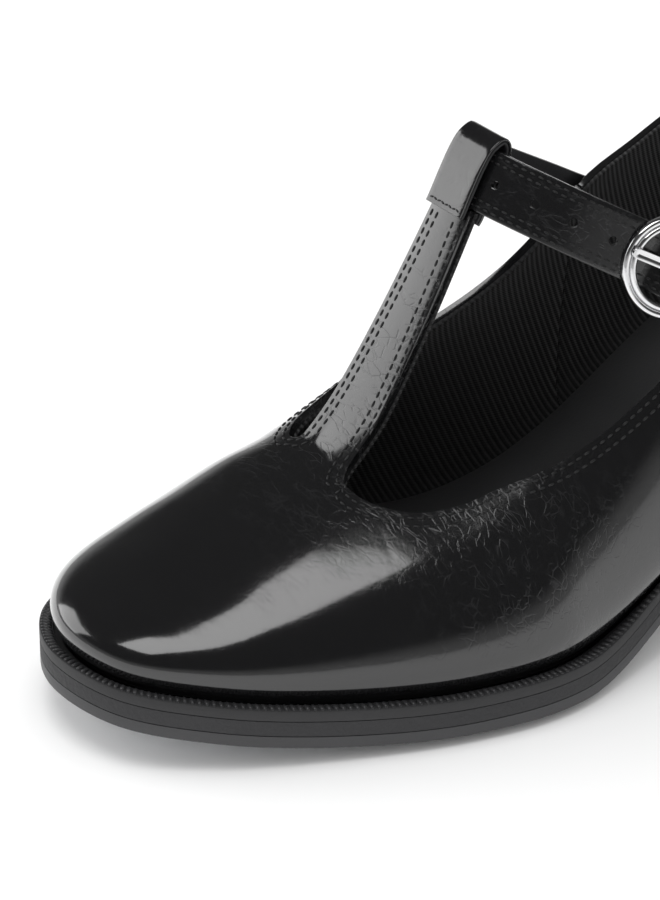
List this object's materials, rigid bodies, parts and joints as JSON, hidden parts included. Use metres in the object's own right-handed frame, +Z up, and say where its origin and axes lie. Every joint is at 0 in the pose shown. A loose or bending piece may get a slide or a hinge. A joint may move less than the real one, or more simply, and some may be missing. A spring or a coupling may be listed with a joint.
{
  "type": "tap shoe",
  "caption": "Closed-toe shoe with a T-bar, a loop holding a buckled cross strap, a block heel, and flat metal plates under the ball and the heel.",
  "frame": {"origin": "centre of the footprint box, on the floor", "axes": "+Z up, -Y towards the toe, +Y towards the heel, +X towards the outer side of the foot, where the buckle is"},
  "size_m": [0.0968, 0.2682, 0.1165],
  "materials": {
    "patent_leather": "high-gloss coated black leather, finely creased",
    "sole_edge": "smooth dark edge, satin",
    "midsole": "stippled dark edge, matt",
    "tap_aluminium": "polished tap plate",
    "steel": "plain steel fasteners and shank",
    "rubber": "matt black rubber",
    "board": "pressed fibre board",
    "filler": "cork filler",
    "leather_lining": "smooth black lining leather",
    "textile_lining": "fine ribbed black textile",
    "stiffener": "stiffening sheet",
    "nickel": "polished nickel plate"
  },
  "bodies": {
    "shoe": {"outsole": "sole_edge", "midsole": "midsole", "toe_tap": "tap_aluminium", "toe_tap_screw_1": "steel", "toe_tap_screw_2": "steel", "toe_tap_screw_3": "steel", "heel_block": "sole_edge", "heel_top_piece": "rubber", "heel_tap": "tap_aluminium", "heel_tap_screw_1": "steel", "heel_tap_screw_2": "steel", "heel_tap_screw_3": "steel", "heel_nail_1": "steel", "heel_nail_2": "steel", "heel_nail_3": "steel", "welt": "sole_edge", "insole_board": "board", "sock_liner": "leather_lining", "bottom_filler": "filler", "shank": "steel", "vamp": "patent_leather", "vamp_lining": "textile_lining", "quarter_lateral": "patent_leather", "quarter_lining_lateral": "textile_lining", "quarter_medial": "patent_leather", "quarter_lining_medial": "textile_lining", "toe_puff": "stiffener", "heel_counter": "stiffener", "back_strip": "patent_leather", "strap_loop": "patent_leather", "cross_strap": "patent_leather", "cross_strap_lining": "leather_lining", "buckle_chape": "patent_leather", "buckle_frame": "nickel"},
    "prong": {"buckle_prong": "nickel"},
    "free_strap_end": {"strap_tip": "patent_leather"}
  },
  "joints": [
    {"name": "prong_pivot", "type": "hinge", "parent": "shoe", "child": "prong", "pos_m": [0.02637, 0.01215, 0.0888], "axis": [0, 0.5, 0.866], "range_deg": [0, 60]},
    {"name": "strap_tip_lift", "type": "hinge", "parent": "shoe", "child": "free_strap_end", "pos_m": [0.03429, 0.01792, 0.08547], "axis": [0, -0.5, -0.866], "range_deg": [0, 30], "stiffness_Nm_per_rad": 0.002}
  ]
}
